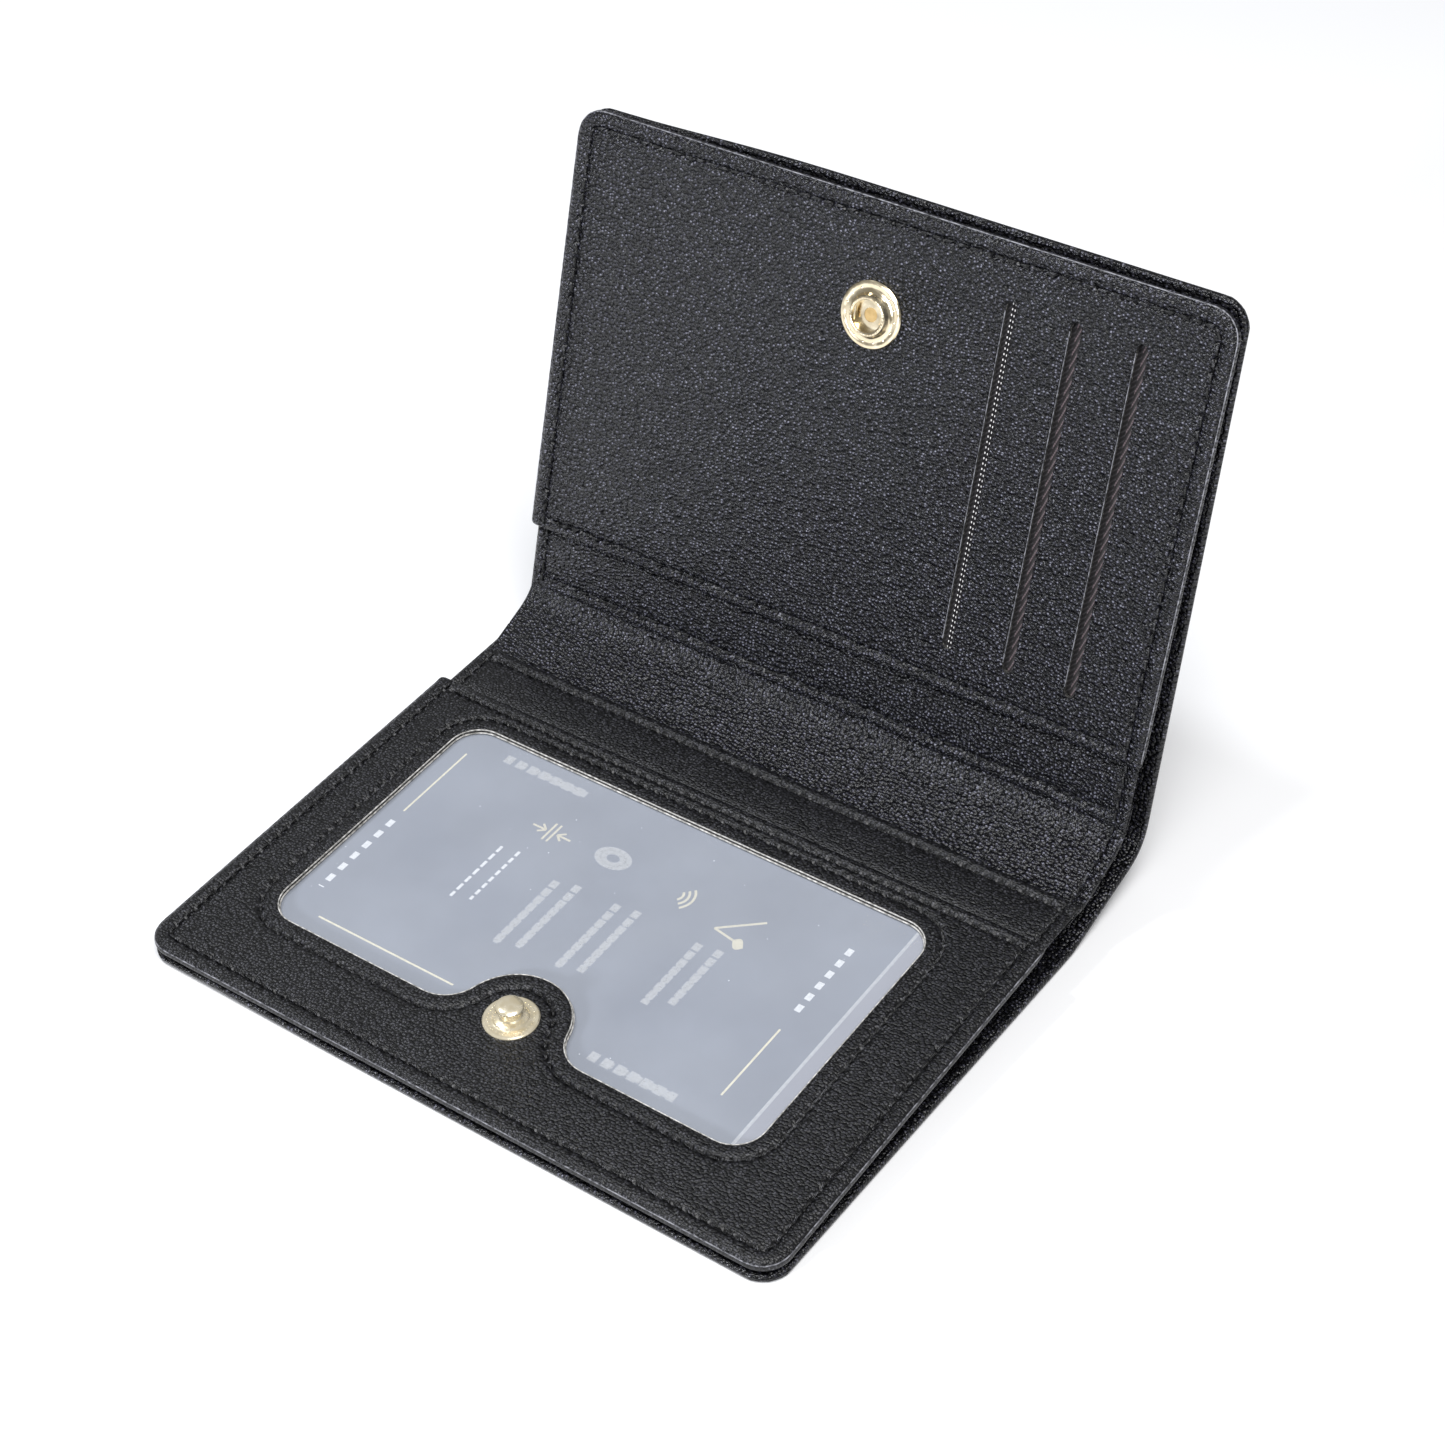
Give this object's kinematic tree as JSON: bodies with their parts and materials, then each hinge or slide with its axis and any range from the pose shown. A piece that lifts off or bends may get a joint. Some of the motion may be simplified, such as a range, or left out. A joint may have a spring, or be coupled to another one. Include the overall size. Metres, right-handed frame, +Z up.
{
  "type": "folding wallet",
  "caption": "Soft leather wallet with two leaves on a wide spine, a windowed card leaf with a snap tab, a leaf with card slits, and a bill compartment behind both.",
  "frame": {"origin": "centre of the base of the object's box, on the surface that the wallet lies on, with the wallet at its rest angle", "axes": "+X along the folds, from the sewn end of the bill compartment to its open end; +Y from the lying leaf's free edge towards the standing leaf; +Z up"},
  "size_m": [0.114, 0.1168, 0.0925],
  "materials": {
    "cover_leather": "fine pebbled grain, semi-matte",
    "panel_leather": "fine pebbled grain, semi-matte, rolled edges",
    "lining": "fine woven twill lining",
    "card_pocket_twill": "ribbed twill with diagonal stripes",
    "clear_sheet": "clear flexible sheet, slightly frosted",
    "insert_card": "printed card, matt blue-grey with fine pale rules",
    "snap_metal": "polished pale gold plating",
    "thread": "twisted polyester thread, slight sheen"
  },
  "bodies": {
    "id_leaf": {"cover_id_panel": "cover_leather", "cover_id_lining": "lining", "id_backing": "lining", "id_lower_pocket": "panel_leather", "id_window_panel": "panel_leather", "id_window_sheet": "clear_sheet", "snap_stud": "snap_metal", "stud_rivet": "snap_metal", "id_edge_stitching": "thread", "id_mouth_stitching": "thread", "window_stitching": "thread", "id_pocket_stitching": "thread", "cover_id_stitching": "thread"},
    "insert": {"insert_card": "insert_card"},
    "spine": {"spine_liner": "panel_leather", "spine_backing": "lining", "spine_cover": "cover_leather", "spine_cover_lining": "lining", "spine_stitching": "thread"},
    "snap_leaf": {"cover_snap_panel": "cover_leather", "cover_snap_lining": "lining", "snap_backing": "lining", "snap_lower_pocket": "panel_leather", "slot_panel": "panel_leather", "card_pocket_1": "card_pocket_twill", "card_pocket_2": "card_pocket_twill", "card_pocket_3": "card_pocket_twill", "snap_socket": "snap_metal", "socket_spring": "snap_metal", "socket_rivet": "snap_metal", "snap_edge_stitching": "thread", "snap_mouth_stitching": "thread", "snap_pocket_stitching": "thread", "cover_snap_stitching": "thread"}
  },
  "joints": [
    {"name": "id_fold", "type": "hinge", "parent": "id_leaf", "child": "spine", "pos_m": [0, 0.02579, 0.00541], "axis": [1, 0, 0], "range_deg": [-19.4, 70.6]},
    {"name": "snap_fold", "type": "hinge", "parent": "spine", "child": "snap_leaf", "pos_m": [0, 0.03662, 0.01009], "axis": [1, 0, 0], "range_deg": [-59.5, 38.5]},
    {"name": "insert_slide", "type": "slide", "parent": "id_leaf", "child": "insert", "axis": [0, 0.9976, 0.0698], "range_m": [0, 0.0145]}
  ]
}
